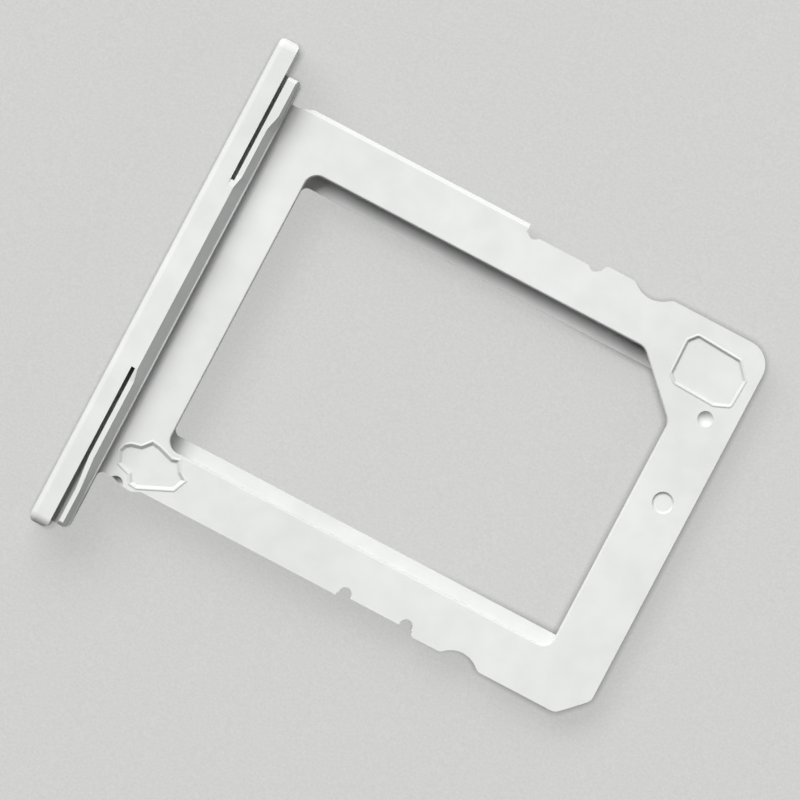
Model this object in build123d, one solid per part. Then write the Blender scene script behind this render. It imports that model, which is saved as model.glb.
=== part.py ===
from build123d import *
import os

# A tray for one nano card, moulded in metal as a single piece: an upright faceplate,
# a drafted plug behind it, and a flat frame with a stepped window for the card.
# Lengths are in millimetres. x runs from the faceplate to the far bar, y from the lower rail
# to the upper rail, z is up. The origin is under the middle of the whole tray.

# The card carried
CARD_LENGTH = 12.3
CARD_WIDTH = 8.8
CARD_THICKNESS = 0.67
CARD_CUT = 1.65

# Clearances round the card
CARD_END_PLAY = 0.065
CARD_SIDE_PLAY = 0.06
CARD_CUT_EASE = 0.04
CARD_SINK = 0.01

# Seat and window
SEAT_DRAFT = 0.02
LEDGE_WIDTH = 0.44
LEDGE_CORNER = 0.2
SEAT_CORNER = 0.4
CUT_ROUND = 0.45
RIM_BREAK = 0.03
RIM_ANGLE = 45.0

# Frame
BAR_NEAR = 1.39
BAR_FAR = 1.75
RAIL_UPPER = 1.56
RAIL_LOWER = 1.42
FRAME_THICKNESS = 0.95
FRAME_RISE = 0.55
EDGE_BREAK = 0.05
UPPER_BEVEL = 0.13
FAR_UPPER_ROUND = 0.72
FAR_LOWER_CUT = 0.77
FAR_LOWER_ROUND = 0.35
ROOT_ROUND = 0.2
ROOT_RELIEF = 0.16
ROOT_RELIEF_RUN = 0.25
ROOT_RELIEF_RISE = 0.42

# Catches on the rails, in order along the rail
CATCH_START = 8.8
RELIEF_RUN = 2.43
SLOT_RADIUS = 0.19
SLOT_GAP = 0.04
TOOTH_RUN = 0.99
TOOTH_ROUND_SHARE = 0.8
SCALLOP_RUN = 1.19
SCALLOP_ROUND = 0.25
# How far each stretch lies inside the straight edge of its rail
UPPER_RELIEF = 0.26
UPPER_SLOT = 0.36
UPPER_TOOTH = 0.04
UPPER_SCALLOP = 0.3
LOWER_RELIEF = 0.09
LOWER_SLOT = 0.34
LOWER_TOOTH = -0.06
LOWER_SCALLOP = 0.22

# Faceplate
PLATE_LENGTH = 15.58
PLATE_HEIGHT = 2.3
PLATE_THICKNESS = 0.6
PLATE_UPPER_REACH = 1.42
PLATE_END_ROUND = 0.28
PLATE_FRONT_ROUND = 0.17
PLATE_BACK_CORNER = 0.15

# Plug behind the faceplate: how deep it is at its foot and along its top edge
PLUG_DEPTH = 1.13
PLUG_LAND = 0.045
TIP_DEPTH = 0.99
RIB_DEPTH = 0.87
BLOCK_DEPTH = 0.79
TAIL_DEPTH = 0.95
# Heights: the land above the plate's middle, and how far tip, ribs and tail stay below its edge
PLUG_LAND_HEIGHT = 0.7
PLUG_STEP = 0.07
PLUG_END_ROUND = 0.3
PLUG_BACK_CORNER = 0.15
# Stretches along the plug, from the plate's upper end down; the block takes what is left
PLUG_START = 0.92
TIP_RUN = 1.16
TIP_EASE = 0.47
UPPER_RIB_RUN = 1.55
BLOCK_EASE = 0.38
LOWER_RIB_RUN = 2.45
TAIL_EASE = 1.0
TAIL_RUN = 1.14
PLUG_END_GAP = 0.26

# Groove between plate and rib, with a shallower step beside it along the tail
GROOVE_WIDTH = 0.12
GROOVE_DEPTH = 0.4
TAIL_STEP_WIDTH = 0.22
TAIL_STEP_DEPTH = 0.3

# Hole for the ejector pin
PIN_RADIUS = 0.45
PIN_MOUTH = 0.06
PIN_FROM_END = 1.15

# Moulding marks on the upper face
MARK_DRAFT = 40.0
# Ejector mark, its corners measured back from the far end and in from the upper edge
FAR_MARK = (
    (2.38, 0.84),
    (2.16, 0.58),
    (0.76, 0.66),
    (0.36, 1.12),
    (0.4, 1.96),
    (0.86, 2.15),
    (2.14, 2.1),
    (2.36, 1.9),
)
FAR_MARK_CORNER = 0.12
FAR_MARK_DEPTH = 0.055
# Torn gate, its corners measured from the plug and in from the lower edge
NEAR_MARK = (
    (0.27, 0.78),
    (0.34, 0.98),
    (0.48, 1.09),
    (0.78, 1.17),
    (1.0, 1.43),
    (1.24, 1.4),
    (1.72, 1.25),
    (1.92, 1.31),
    (2.1, 1.03),
    (2.34, 0.87),
    (2.17, 0.48),
    (1.2, 0.04),
    (0.97, 0.06),
    (0.82, 0.3),
    (0.42, 0.43),
)
NEAR_MARK_DEPTH = 0.06
NEAR_MARK_DRAFT = 48.0
# Lip raised round both marks
LIP_WIDTH = 0.06
LIP_HEIGHT = 0.02
LIP_DRAFT = 60.0
# Stub of the gate on the lower edge, measured in the same way
GATE_STUB = ((0.45, 0.0), (0.75, -0.1), (1.1, -0.13), (1.35, 0.0))
# Chip out of the lower edge beside the torn gate
CHIP_RADIUS = 0.22
CHIP_FROM_PLUG = 0.6
CHIP_OUTSIDE = 0.12
PIT_RADIUS = 0.235
PIT_DEPTH = 0.13
PIT_FROM_END = 0.87
PIT_FROM_EDGE = 2.61
DIMPLE_RADIUS = 0.32
DIMPLE_DEPTH = 0.07
DIMPLE_FROM_END = 0.83
DIMPLE_FROM_EDGE = 5.3

# Positions that follow from the sizes above
WINDOW_LENGTH = CARD_LENGTH + 2 * CARD_END_PLAY
FOOT_WIDTH = CARD_WIDTH + 2 * CARD_SIDE_PLAY
MOUTH_WIDTH = FOOT_WIDTH + 2 * SEAT_DRAFT
THROUGH_WIDTH = FOOT_WIDTH - 2 * LEDGE_WIDTH
SEAT_DEPTH = CARD_THICKNESS + CARD_SINK
WINDOW_CUT = CARD_CUT - CARD_CUT_EASE
RIM_WIDTH = MOUTH_WIDTH + 2 * RIM_BREAK
FRAME_WIDTH = RAIL_UPPER + RIM_WIDTH + RAIL_LOWER
TRAY_LENGTH = PLUG_DEPTH + BAR_NEAR + WINDOW_LENGTH + BAR_FAR

X_FRONT = -TRAY_LENGTH / 2
X_PLUG = X_FRONT + PLUG_DEPTH
X_WINDOW = X_PLUG + BAR_NEAR
X_WINDOW_END = X_WINDOW + WINDOW_LENGTH
X_END = X_FRONT + TRAY_LENGTH
TOOTH_START = CATCH_START + RELIEF_RUN
SCALLOP_START = TOOTH_START + TOOTH_RUN
Y_PLATE = PLATE_LENGTH / 2
Y_UPPER = Y_PLATE - PLATE_UPPER_REACH
Y_LOWER = Y_UPPER - FRAME_WIDTH
Y_WINDOW = Y_UPPER - RAIL_UPPER - RIM_WIDTH / 2
Z_MIDDLE = PLATE_HEIGHT / 2
Z_UNDER = FRAME_RISE
Z_TOP = Z_UNDER + FRAME_THICKNESS
TIP_END = PLUG_START + TIP_RUN
UPPER_RIB_START = TIP_END + TIP_EASE
UPPER_RIB_END = UPPER_RIB_START + UPPER_RIB_RUN
BLOCK_START = UPPER_RIB_END + BLOCK_EASE
PLUG_END = PLATE_LENGTH - PLUG_END_GAP
TAIL_START = PLUG_END - TAIL_RUN
LOWER_RIB_END = TAIL_START - TAIL_EASE
LOWER_RIB_START = LOWER_RIB_END - LOWER_RIB_RUN
BLOCK_END = LOWER_RIB_START - BLOCK_EASE
RIB_HEIGHT = Z_MIDDLE - PLUG_STEP
# Cutting tools run this far past the faces they open
PAST = FRAME_THICKNESS


def rail_edges(y_edge, inward, relief, tooth, scallop):
    """The catches of one rail, as lines and arcs from the straight edge to the far end."""

    def at(x, depth):
        return (X_FRONT + x, y_edge + inward * depth)

    tooth_round = TOOTH_ROUND_SHARE * (relief - tooth)
    tooth_top = TOOTH_START + tooth_round
    scallop_end = SCALLOP_START + SCALLOP_RUN
    step = Polyline(
        at(CATCH_START, 0.0),
        at(CATCH_START, relief),
        at(TOOTH_START, relief),
        at(TOOTH_START, tooth + tooth_round),
    )
    nose = RadiusArc(
        at(TOOTH_START, tooth + tooth_round), at(tooth_top, tooth), -inward * tooth_round
    )
    flat = Line(at(tooth_top, tooth), at(SCALLOP_START, tooth))
    hollow = ThreePointArc(
        at(SCALLOP_START, tooth),
        at((SCALLOP_START + scallop_end) / 2, scallop),
        at(scallop_end, tooth),
    )
    return [step, nose, flat, hollow], at(SCALLOP_START, tooth), at(scallop_end, tooth)


def rail_slots(y_edge, inward, slot):
    """The two round slots at the ends of a rail's relief, cut right through."""
    centres = (
        CATCH_START + SLOT_GAP + SLOT_RADIUS,
        TOOTH_START - SLOT_GAP - SLOT_RADIUS,
    )
    depth = slot - SLOT_RADIUS
    return [
        Pos(X_FRONT + x, y_edge + inward * depth, Z_UNDER)
        * Cylinder(SLOT_RADIUS, 2 * (FRAME_THICKNESS + PAST))
        for x in centres
    ]


def corner_near(face, point):
    """The corner of a flat face that lies nearest a point of its plane."""
    return face.vertices().sort_by_distance(Vector(*point))[0]


def rounded_at(face, point, radius):
    """The face with the corner nearest the point rounded."""
    return fillet(corner_near(face, point), radius)


def prism(face, low, high):
    """A flat face in the level plane, drawn out from one height to another."""
    return extrude(Pos(0, 0, low) * face, amount=high - low, dir=(0, 0, 1))


def by_gate(corners):
    """Places measured from the plug and in from the lower edge, on the level plane."""
    return [(X_PLUG + x, Y_LOWER + y) for x, y in corners]


def frame_outline():
    """The frame seen from above, run on into the plate so that the two join."""
    x_root = X_FRONT + PLATE_THICKNESS / 2
    upper, upper_a, upper_b = rail_edges(
        Y_UPPER, -1, UPPER_RELIEF, UPPER_TOOTH, UPPER_SCALLOP
    )
    lower, lower_a, lower_b = rail_edges(
        Y_LOWER, 1, LOWER_RELIEF, LOWER_TOOTH, LOWER_SCALLOP
    )
    y_relief = Y_UPPER - ROOT_RELIEF
    x_relief = X_PLUG + ROOT_RELIEF_RUN
    x_catch = X_FRONT + CATCH_START
    y_flare = Y_LOWER - ROOT_ROUND
    x_flare = X_PLUG + ROOT_ROUND
    far_upper = (X_END, upper_b[1])
    far_lower = (X_END, lower_b[1] + FAR_LOWER_CUT)
    lower_far = (X_END - FAR_LOWER_CUT, lower_b[1])
    ring = (
        upper
        + lower
        + [
            Polyline(
                (x_root, y_flare),
                (x_root, y_relief),
                (x_relief, y_relief),
                (x_relief + ROOT_RELIEF_RISE, Y_UPPER),
                (x_catch, Y_UPPER),
            ),
            Polyline(upper_b, far_upper, far_lower, lower_far, lower_b),
            Polyline((x_root, y_flare), (X_PLUG, y_flare)),
            RadiusArc((X_PLUG, y_flare), (x_flare, Y_LOWER), ROOT_ROUND),
            Polyline((x_flare, Y_LOWER), *by_gate(GATE_STUB), (x_catch, Y_LOWER)),
        ]
    )
    face = make_face(Curve() + ring)
    for point in (upper_a, upper_b, lower_a, lower_b):
        face = rounded_at(face, point, SCALLOP_ROUND)
    face = rounded_at(face, far_upper, FAR_UPPER_ROUND)
    for point in (far_lower, lower_far):
        face = rounded_at(face, point, FAR_LOWER_ROUND)
    return face


def window_plan():
    """The mouth of the window from above: a rectangle with one cut corner, all corners rounded."""
    low = Y_WINDOW - MOUTH_WIDTH / 2
    high = Y_WINDOW + MOUTH_WIDTH / 2
    near_corners = ((X_WINDOW, low), (X_WINDOW, high))
    cut_corners = ((X_WINDOW_END - WINDOW_CUT, high), (X_WINDOW_END, high - WINDOW_CUT))
    far_corner = (X_WINDOW_END, low)
    face = make_face(
        Polyline(near_corners[0], near_corners[1], *cut_corners, far_corner, close=True)
    )
    for point in (*near_corners, far_corner):
        face = rounded_at(face, point, SEAT_CORNER)
    for point in cut_corners:
        face = rounded_at(face, point, CUT_ROUND)
    return face


def seat_tool():
    """What is cut away for the card: drafted long walls standing on two flat ledges."""
    levels = (
        (MOUTH_WIDTH / 2, PAST),
        (MOUTH_WIDTH / 2, -RIM_BREAK),
        (FOOT_WIDTH / 2, -SEAT_DEPTH),
    )
    right = [(half, Z_TOP + z) for half, z in levels]
    left = [(-half, z) for half, z in reversed(right)]
    section = Plane.YZ * make_face(Polyline(*right, *left, close=True))
    bar = extrude(Pos(X_WINDOW, Y_WINDOW, 0) * section, amount=WINDOW_LENGTH, dir=(1, 0, 0))
    return bar & prism(window_plan(), Z_UNDER, Z_TOP + PAST)


def rim_tool():
    """The small bevel round the window's upper edge."""
    face = Pos(0, 0, Z_TOP - RIM_BREAK) * window_plan()
    return extrude(face, amount=2 * RIM_BREAK, dir=(0, 0, 1), taper=-RIM_ANGLE)


def through_tool():
    """The open part of the window, between the two ledges."""
    centre = ((X_WINDOW + X_WINDOW_END) / 2, Y_WINDOW)
    face = Pos(*centre) * Rectangle(WINDOW_LENGTH, THROUGH_WIDTH)
    for side in (-1, 1):
        corner = (X_WINDOW, Y_WINDOW + side * THROUGH_WIDTH / 2)
        face = rounded_at(face, corner, LEDGE_CORNER)
    return prism(face, Z_UNDER - PAST, Z_TOP + PAST) & prism(
        window_plan(), Z_UNDER - PAST, Z_TOP + PAST
    )


def drafted(face, depth, draft, rise=0.0):
    """A shallow pocket in the frame's upper face, or in a lip on it, its walls leaning outwards."""
    return extrude(Pos(0, 0, Z_TOP + rise) * face, amount=depth + rise, dir=(0, 0, -1), taper=draft)


def far_mark():
    """The outline of the ejector mark, its corners rounded."""
    corners = [(X_END - x, Y_UPPER - y) for x, y in FAR_MARK]
    return fillet(make_face(Polyline(*corners, close=True)).vertices(), FAR_MARK_CORNER)


def near_mark():
    """The outline of the torn gate, its corners sharp."""
    return make_face(Polyline(*by_gate(NEAR_MARK), close=True))


def lip(mark):
    """The lip raised round a mark, sloping outwards and kept within the frame."""
    low = Z_TOP - EDGE_BREAK
    foot = offset(mark, LIP_WIDTH, kind=Kind.INTERSECTION)
    sloped = extrude(Pos(0, 0, Z_TOP) * foot, amount=LIP_HEIGHT, dir=(0, 0, 1), taper=LIP_DRAFT)
    return (sloped + prism(foot, low, Z_TOP)) & prism(frame_outline(), low, Z_TOP + LIP_HEIGHT)


def frame():
    """The flat frame with its catches and its window, the edges eased."""
    solid = prism(frame_outline(), Z_UNDER, Z_TOP)
    for level in (solid.faces().sort_by(Axis.Z)[-1], solid.faces().sort_by(Axis.Z)[0]):
        solid = chamfer(level.outer_wire().edges(), EDGE_BREAK)
    for tool in rail_slots(Y_UPPER, -1, UPPER_SLOT) + rail_slots(Y_LOWER, 1, LOWER_SLOT):
        solid -= tool
    solid -= bevel_tool()
    solid -= seat_tool()
    solid -= through_tool()
    return solid - rim_tool()


def back_rounded(depth, low, high, radius):
    """A level rectangle behind the front, between two places across, its back corners rounded."""
    plan = Pos(X_FRONT + depth / 2, (low + high) / 2) * Rectangle(depth, high - low)
    for y in (low, high):
        plan = rounded_at(plan, (X_FRONT + depth, y), radius)
    return prism(plan, 0.0, PLATE_HEIGHT)


def plug_section(station, top_depth, top):
    """The plug's upper half cut across: a flat top, and a slope that ends on the land."""
    x_in = PLATE_THICKNESS / 2
    x_foot = PLUG_DEPTH - PLUG_LAND
    corners = (
        (x_in, 0.0),
        (x_in, top),
        (top_depth, top),
        (x_foot, PLUG_LAND_HEIGHT),
        (x_foot, 0.0),
    )
    face = Plane.XZ * make_face(Polyline(*corners, close=True))
    return Pos(X_FRONT, Y_PLATE - station, Z_MIDDLE) * face


def plug():
    """The block behind the plate: ruled skins where its section changes, the same above and below."""
    upper_run = (
        (PLUG_START, TIP_DEPTH, RIB_HEIGHT),
        (TIP_END, TIP_DEPTH, RIB_HEIGHT),
        (UPPER_RIB_START, RIB_DEPTH, RIB_HEIGHT),
        (UPPER_RIB_END, RIB_DEPTH, RIB_HEIGHT),
        (BLOCK_START, BLOCK_DEPTH, Z_MIDDLE),
    )
    lower_run = (
        (BLOCK_END, BLOCK_DEPTH, Z_MIDDLE),
        (LOWER_RIB_START, RIB_DEPTH, RIB_HEIGHT),
        (LOWER_RIB_END, RIB_DEPTH, RIB_HEIGHT),
        (TAIL_START, TAIL_DEPTH, RIB_HEIGHT),
        (PLUG_END, TAIL_DEPTH, RIB_HEIGHT),
    )
    block = plug_section(*upper_run[-1])
    half = extrude(block, amount=BLOCK_END - BLOCK_START, dir=(0, -1, 0))
    for run in (upper_run, lower_run):
        half += loft([plug_section(*station) for station in run], ruled=True)
    length = PLUG_END - PLUG_START
    x_in = PLATE_THICKNESS / 2
    middle = Pos(X_FRONT + (x_in + PLUG_DEPTH) / 2, Y_PLATE - (PLUG_START + PLUG_END) / 2, Z_MIDDLE)
    core = middle * Box(PLUG_DEPTH - x_in, length, 2 * PLUG_LAND_HEIGHT)
    whole = core + half + mirror(half, about=Plane.XY.offset(Z_MIDDLE))
    side = Plane.YZ * RectangleRounded(length, PLATE_HEIGHT, PLUG_END_ROUND)
    whole &= extrude(middle * side, amount=PLUG_DEPTH, both=True)
    return whole & back_rounded(
        PLUG_DEPTH, Y_PLATE - PLUG_END, Y_PLATE - PLUG_START, PLUG_BACK_CORNER
    )


def grooves():
    """The gaps between plate and rib, above and below, and the steps beside them along the tail."""
    x_plate = X_FRONT + PLATE_THICKNESS
    x_groove = x_plate + GROOVE_WIDTH
    x_step = x_plate + TAIL_STEP_WIDTH
    y_upper = Y_PLATE - (UPPER_RIB_END + BLOCK_START) / 2
    y_lower = Y_PLATE - BLOCK_END
    y_ease = Y_PLATE - LOWER_RIB_END
    y_tail = Y_PLATE - TAIL_START
    upper = ((x_groove, Y_PLATE), (x_groove, y_upper))
    lower = ((x_groove, y_lower), (x_groove, -Y_PLATE))
    tail = ((x_groove, y_ease), (x_step, y_tail), (x_step, -Y_PLATE))
    tools = []
    for depth, side in ((GROOVE_DEPTH, upper), (GROOVE_DEPTH, lower), (TAIL_STEP_DEPTH, tail)):
        corners = ((x_plate, side[0][1]), *side, (x_plate, side[-1][1]))
        plan = make_face(Polyline(*corners, close=True))
        floor = RIB_HEIGHT - depth
        tools.append(prism(plan, Z_MIDDLE + floor, PLATE_HEIGHT))
        tools.append(prism(plan, 0.0, Z_MIDDLE - floor))
    return tools


def plate():
    """The faceplate: a flat bar, its ends rounded, its front edges eased and its back corners cut round."""
    face = Plane.YZ * RectangleRounded(PLATE_LENGTH, PLATE_HEIGHT, PLATE_END_ROUND)
    solid = extrude(Pos(X_FRONT, 0, Z_MIDDLE) * face, amount=PLATE_THICKNESS, dir=(1, 0, 0))
    front = solid.faces().sort_by(Axis.X)[0]
    solid = fillet(front.edges(), PLATE_FRONT_ROUND)
    return solid & back_rounded(PLATE_THICKNESS, -Y_PLATE, Y_PLATE, PLATE_BACK_CORNER)


def pin_hole():
    """The pin's hole near the plate's lower end, halfway up it, with an eased mouth."""
    y = -Y_PLATE + PIN_FROM_END
    profile = make_face(
        Polyline(
            (-PIN_MOUTH, 0.0),
            (-PIN_MOUTH, PIN_RADIUS + 2 * PIN_MOUTH),
            (PIN_MOUTH, PIN_RADIUS),
            (PLUG_DEPTH + PIN_MOUTH, PIN_RADIUS),
            (PLUG_DEPTH + PIN_MOUTH, 0.0),
            close=True,
        )
    )
    return Pos(X_FRONT, y, Z_MIDDLE) * revolve(profile, Axis.X)


def marks():
    """What the moulding left in the upper face: two pockets, a chip, a dished dimple and a pit."""
    far = drafted(far_mark(), FAR_MARK_DEPTH, MARK_DRAFT, LIP_HEIGHT)
    near = drafted(near_mark(), NEAR_MARK_DEPTH, NEAR_MARK_DRAFT, LIP_HEIGHT)
    chip = Pos(X_PLUG + CHIP_FROM_PLUG, Y_LOWER - CHIP_OUTSIDE, Z_TOP) * Sphere(CHIP_RADIUS)
    at_dimple = Pos(X_END - DIMPLE_FROM_END, Y_UPPER - DIMPLE_FROM_EDGE)
    dimple = drafted(at_dimple * Circle(DIMPLE_RADIUS), DIMPLE_DEPTH, MARK_DRAFT)
    ball = (PIT_RADIUS**2 + PIT_DEPTH**2) / (2 * PIT_DEPTH)
    pit = Pos(
        X_END - PIT_FROM_END, Y_UPPER - PIT_FROM_EDGE, Z_TOP + ball - PIT_DEPTH
    ) * Sphere(ball)
    return [far, near, chip, dimple, pit]


def bevel_tool():
    """The wide bevel on the upper rail's straight top edge."""
    start = X_PLUG + ROOT_RELIEF_RUN
    section = Plane.YZ * make_face(
        Polyline(
            (-UPPER_BEVEL, PAST),
            (-UPPER_BEVEL, 0.0),
            (0.0, -UPPER_BEVEL),
            (PAST, -UPPER_BEVEL),
            (PAST, PAST),
            close=True,
        )
    )
    run = X_FRONT + CATCH_START - start
    return extrude(Pos(start, Y_UPPER, Z_TOP) * section, amount=run, dir=(1, 0, 0))


tray = frame() + lip(far_mark()) + lip(near_mark()) + plug() + plate()
for tool in grooves():
    tray -= tool
tray -= pin_hole()
for tool in marks():
    tray -= tool

os.makedirs("parts", exist_ok=True)
export_step(tray, "parts/sim_tray.step")
print("tray", round(tray.volume, 2), "mm3, solids", len(tray.solids()))
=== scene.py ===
# %% [markdown]
# A sim card tray is one small metal moulding: an upright faceplate, a plug behind it and a flat
# frame with a stepped window for the card. Its solid is already modelled to size, so this lesson
# loads that solid as a fixed frame and spends its effort on finish, light and camera.
# Everything is in metres here, so a millimetre is a named value used throughout.

# %% Load the tray
import math

import bmesh
import bpy
from mathutils import Matrix, Vector

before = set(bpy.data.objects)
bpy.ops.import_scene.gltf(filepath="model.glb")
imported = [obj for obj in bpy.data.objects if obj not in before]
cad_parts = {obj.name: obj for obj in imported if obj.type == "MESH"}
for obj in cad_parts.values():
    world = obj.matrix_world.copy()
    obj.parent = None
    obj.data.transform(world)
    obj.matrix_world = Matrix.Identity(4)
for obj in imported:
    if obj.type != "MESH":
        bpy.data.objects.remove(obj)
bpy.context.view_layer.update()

MM = 0.001
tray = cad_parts["sim_tray"]

# %% [markdown]
# A finish in Blender is a tree of shader nodes. It could be put together by hand in the Shader Editor, but
# a script can be read and run again. Three small helpers keep it short: one makes an empty material, one
# fills in a socket, and one adds a node with its sockets filled in. A number that is the same all over a
# surface is typed straight into its socket, and only what varies is linked.

# %% Helpers for shader nodes


def new_finish(name):
    """An empty node material, its tree and its Principled shader."""
    material = bpy.data.materials.new(name)
    material.use_nodes = True
    tree = material.node_tree
    tree.nodes.clear()
    output = tree.nodes.new("ShaderNodeOutputMaterial")
    shader = tree.nodes.new("ShaderNodeBsdfPrincipled")
    tree.links.new(shader.outputs["BSDF"], output.inputs["Surface"])
    return material, tree, shader


def put(tree, node, socket, value):
    """Links a socket if the value is another node's output, or else sets it."""
    if isinstance(value, bpy.types.NodeSocket):
        tree.links.new(value, node.inputs[socket])
    else:
        node.inputs[socket].default_value = value


def add(tree, kind, **sockets):
    """A node of this kind, with the given input sockets set or linked."""
    node = tree.nodes.new(kind)
    for socket, value in sockets.items():
        put(tree, node, socket.replace("_", " "), value)
    return node


print("node helpers: new_finish, put, add")

# %% [markdown]
# No plated surface is one even tone, and noise is the simplest pattern that breaks a tone up. It is placed
# by Object coordinates, which are in metres, so the size of its features is given as a length. Noise seldom
# comes near 0 or 1, so the helpers that turn it into a number or a colour use its middle stretch.

# %% Helpers for noise
NOISE_MIDDLE = (0.3, 0.7)
BROAD_DETAIL = 2.0
FINE_DETAIL = 3.0


def noise(tree, point, size, detail=BROAD_DETAIL):
    """A noise pattern whose features are about this size, in metres."""
    pattern = add(tree, "ShaderNodeTexNoise", Vector=point, Scale=1.0 / size, Detail=detail)
    return pattern.outputs["Fac"]


def between(tree, pattern, low, high):
    """A number that runs smoothly from low to high over the middle of a noise pattern."""
    node = add(tree, "ShaderNodeMapRange", Value=pattern, To_Min=low, To_Max=high)
    node.interpolation_type = "SMOOTHSTEP"
    for socket, number in zip(("From Min", "From Max"), NOISE_MIDDLE):
        put(tree, node, socket, number)
    return node.outputs["Result"]


def tint(tree, pattern, dark, light):
    """A colour that runs from one tone to another over the middle of a noise pattern."""
    node = add(tree, "ShaderNodeValToRGB", Fac=pattern)
    for stop, place, tone in zip(node.color_ramp.elements, NOISE_MIDDLE, (dark, light)):
        stop.position = place
        stop.color = (*tone, 1.0)
    return node.outputs["Color"]


print("noise is used from", NOISE_MIDDLE[0], "to", NOISE_MIDDLE[1])

# %% [markdown]
# The tray is plated to a pale silver and fine blasted. Blasting breaks up the mirror of bare metal, so
# the shader is half metallic and very rough, and scatters much of its light as a matt paint would. It
# also leaves a grain of a few hundredths of a millimetre. A bump from fine noise gives that grain, a
# coarser noise shifts the roughness as plating does, and a very broad one moves the colour a little, so
# that no face is a single flat tone.

# %% Satin silver finish
SILVER_DARK = (0.46, 0.466, 0.46)
SILVER_LIGHT = (0.50, 0.506, 0.50)
METAL_SHARE = 0.5
ROUGH_LOW = 0.89
ROUGH_HIGH = 0.95
GRAIN = 0.045 * MM
PATCH = 0.7 * MM
DRIFT = 4.0 * MM
GRAIN_HEIGHT = 0.0011 * MM
PATCH_HEIGHT = 0.0005 * MM


def satin_silver():
    """Blasted and plated pale metal."""
    material, tree, shader = new_finish("satin_metal")
    point = add(tree, "ShaderNodeTexCoord").outputs["Object"]
    grain = noise(tree, point, GRAIN, FINE_DETAIL)
    patch = noise(tree, point, PATCH)
    drift = noise(tree, point, DRIFT)
    put(tree, shader, "Base Color", tint(tree, drift, SILVER_DARK, SILVER_LIGHT))
    put(tree, shader, "Metallic", METAL_SHARE)
    put(tree, shader, "Roughness", between(tree, patch, ROUGH_LOW, ROUGH_HIGH))
    soft = add(tree, "ShaderNodeBump", Strength=1.0, Distance=PATCH_HEIGHT, Height=patch)
    fine = add(tree, "ShaderNodeBump", Strength=1.0, Distance=GRAIN_HEIGHT, Height=grain)
    put(tree, fine, "Normal", soft.outputs["Normal"])
    put(tree, shader, "Normal", fine.outputs["Normal"])
    return material


silver = satin_silver()
tray.data.materials[0] = silver
print("finish", silver.name, "with", len(silver.node_tree.nodes), "nodes")

# %% [markdown]
# A tray laid on a table does not lie level: its faceplate and plug are taller than the frame, so it rests
# on the plug's lower edge and on the far end of the frame. The tray is never moved here, so the table is
# tilted to meet it instead. The slope comes from the tray's own vertices: from the lowest edge, the
# shallowest line to any point further along is the one the table touches first.

# %% Slope of the table
LEVEL = 0.001 * MM

points = [v.co for v in tray.data.vertices]
lowest = min(p.z for p in points)
near = max((p for p in points if p.z < lowest + LEVEL), key=lambda p: p.x)
slope = min((p.z - near.z) / (p.x - near.x) for p in points if p.x > near.x + MM)
table_tilt = math.atan(slope)
print("table tilt in degrees", round(math.degrees(table_tilt), 2))

# %% [markdown]
# The table is a pale matt board. In the photograph hardly any shade lies on it, so it mostly glows with its
# own colour when it is looked at, which the Light Path node can tell. Only part of the real shade is left,
# and the Ambient Occlusion node darkens the glowing colour in a thin line where the tray comes close, as
# painted shade. Without that line the tray would seem to float.

# %% Pale board
BOARD_DARK = (0.378, 0.381, 0.375)
BOARD_LIGHT = (0.416, 0.419, 0.413)
BOARD_ROUGHNESS = 0.9
BOARD_GLOSS = 0.2
BOARD_GLOW = 1.53
TOOTH = 0.07 * MM
SHADE_HIDDEN = 0.85
PAINTED_SHADE_REACH = 0.22 * MM


def combine(tree, operation, first, second):
    """One maths operation on two values, inside the shader."""
    node = tree.nodes.new("ShaderNodeMath")
    node.operation = operation
    put(tree, node, 0, first)
    put(tree, node, 1, second)
    return node.outputs["Value"]


def pale_board():
    """Pale matt board with a faint tooth, which shows only part of the shade that falls on it, and painted
    shade near the tray.
    """
    material, tree, shader = new_finish("pale_board")
    point = add(tree, "ShaderNodeTexCoord").outputs["Object"]
    tone = tint(tree, noise(tree, point, TOOTH, FINE_DETAIL), BOARD_DARK, BOARD_LIGHT)
    put(tree, shader, "Base Color", tone)
    put(tree, shader, "Roughness", BOARD_ROUGHNESS)
    put(tree, shader, "Specular IOR Level", BOARD_GLOSS)
    # Painted shade: the occlusion darkens the board's glowing colour in a thin line close to the tray.
    painted_contact_shade = add(tree, "ShaderNodeAmbientOcclusion", Color=tone, Distance=PAINTED_SHADE_REACH)
    glow = add(tree, "ShaderNodeEmission", Color=painted_contact_shade.outputs["Color"], Strength=BOARD_GLOW)
    ray = add(tree, "ShaderNodeLightPath").outputs
    looked_at = combine(tree, "MAXIMUM", ray["Is Camera Ray"], ray["Is Glossy Ray"])
    both = add(tree, "ShaderNodeMixShader", Fac=combine(tree, "MULTIPLY", looked_at, SHADE_HIDDEN))
    put(tree, both, 1, shader.outputs["BSDF"])
    put(tree, both, 2, glow.outputs["Emission"])
    put(tree, tree.get_output_node("ALL"), "Surface", both.outputs["Shader"])
    return material


board_finish = pale_board()
print("finish", board_finish.name, "with", len(board_finish.node_tree.nodes), "nodes")

# %% [markdown]
# The table top is a single flat face. A bmesh operator takes a matrix, so the face is tilted and placed as
# it is made, and its object stays unturned at the origin.

# %% Table top
TABLE_HALF = 400.0 * MM

mesh = bpy.data.meshes.new("table")
board = bmesh.new()
lie = Matrix.Translation(near) @ Matrix.Rotation(-table_tilt, 4, "Y")
bmesh.ops.create_grid(board, x_segments=1, y_segments=1, size=TABLE_HALF, matrix=lie)
board.to_mesh(mesh)
board.free()
mesh.materials.append(board_finish)
table = bpy.data.objects.new("table", mesh)
bpy.context.scene.collection.objects.link(table)
print("table", round(2 * TABLE_HALF, 2), "m across")

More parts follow.
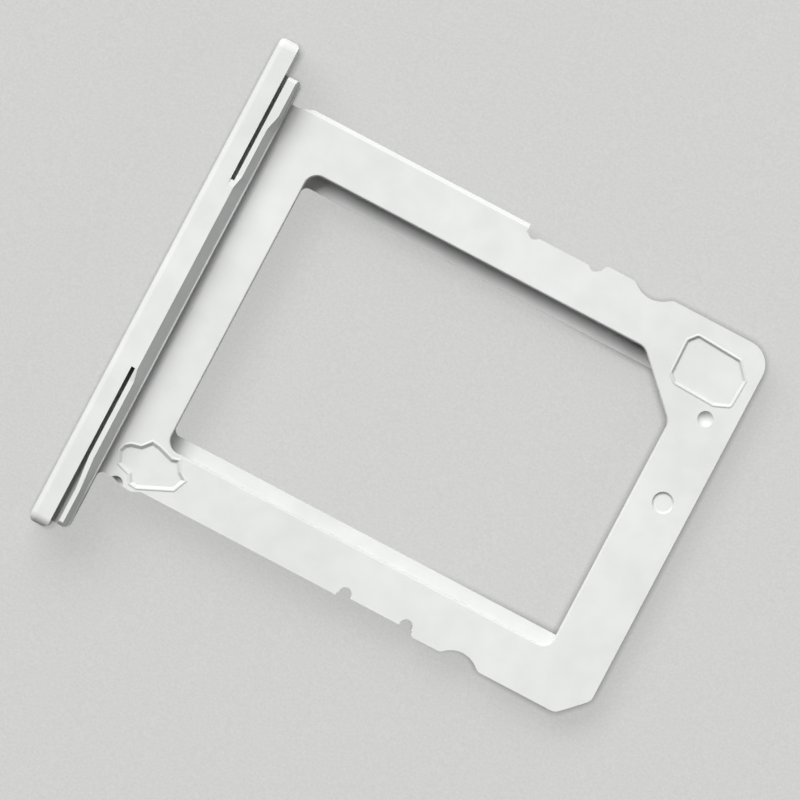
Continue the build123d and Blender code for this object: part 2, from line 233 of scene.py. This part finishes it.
# %% [markdown]
# The light is one broad soft panel on the picture's upper left, a little over forty degrees down from
# overhead. It throws the ledge under the upper wall and the foot of the plug into shade, and lights every
# edge that faces it. A weak panel on the lower right fills that shade. A third shines along the faceplate
# from its upper end, so that the bevel of the upper rail and the narrow grooves catch light. Each panel is
# given its brightness as a surface, and its power follows from its area.

# %% Light panels
PHOTO_TURN = math.radians(27.8)
PANEL_DISTANCE = 0.60
photo_up = Vector((-math.sin(PHOTO_TURN), math.cos(PHOTO_TURN), 0.0))
photo_right = Vector((math.cos(PHOTO_TURN), math.sin(PHOTO_TURN), 0.0))
straight_up = Vector((0.0, 0.0, 1.0))


def panel(name, lean, swing, width, depth, brightness):
    """A soft panel facing the tray: lean from overhead, swing left of the picture's top, in degrees."""
    angle, turn = math.radians(lean), math.radians(swing)
    level = photo_up * math.cos(turn) - photo_right * math.sin(turn)
    toward = straight_up * math.cos(angle) + level * math.sin(angle)
    across = level.cross(straight_up)
    along = toward.cross(across)
    lamp = bpy.data.lights.new(name, "AREA")
    lamp.shape = "RECTANGLE"
    lamp.size = width
    lamp.size_y = depth
    lamp.energy = math.pi * width * depth * brightness
    lit = bpy.data.objects.new(name, lamp)
    facing = Matrix((across, along, toward)).transposed().to_4x4()
    lit.matrix_world = Matrix.Translation(toward * PANEL_DISTANCE) @ facing
    bpy.context.scene.collection.objects.link(lit)
    print(name, "power", round(lamp.energy, 3), "W")


panel("key_panel", lean=42.0, swing=23.0, width=0.54, depth=0.36, brightness=16.0)
panel("fill_panel", lean=58.0, swing=240.0, width=0.32, depth=0.28, brightness=4.3)
panel("edge_panel", lean=60.0, swing=332.0, width=0.32, depth=0.20, brightness=6.4)

# %% [markdown]
# A real room also scatters a little light from every side. A very dark even grey is enough for that: it
# lifts the deepest corners, and the panels are left to show the form.

# %% Room light
ROOM_TONE = 0.02

world = bpy.data.worlds.new("room")
world.use_nodes = True
room = world.node_tree.nodes["Background"]
room.inputs["Color"].default_value = (ROOM_TONE, ROOM_TONE, ROOM_TONE, 1.0)
room.inputs["Strength"].default_value = 1.0
bpy.context.scene.world = world
print("room tone", ROOM_TONE)

# %% [markdown]
# The picture is taken from straight above with the tray turned about 28 degrees. A long lens at some
# distance keeps the outlines square, as in the photograph, and the picture's width on the tray sets the
# focal length.

# %% Camera
PICTURE_WIDTH = 22.92 * MM
PICTURE_CENTRE = Vector((-0.515 * MM, 0.164 * MM, 0.0))
FRAME_TOP = 1.5 * MM
CAMERA_DISTANCE = 260.0 * MM

eye = bpy.data.cameras.new("camera")
eye.sensor_fit = "HORIZONTAL"
eye.lens = eye.sensor_width * CAMERA_DISTANCE / PICTURE_WIDTH
eye.clip_start = MM
camera = bpy.data.objects.new("camera", eye)
camera.location = PICTURE_CENTRE + straight_up * (FRAME_TOP + CAMERA_DISTANCE)
camera.rotation_euler = (0.0, 0.0, PHOTO_TURN)
bpy.context.scene.collection.objects.link(camera)
bpy.context.scene.camera = camera
bpy.context.scene.view_settings.view_transform = "Standard"
print("focal length", round(eye.lens, 1), "mm")
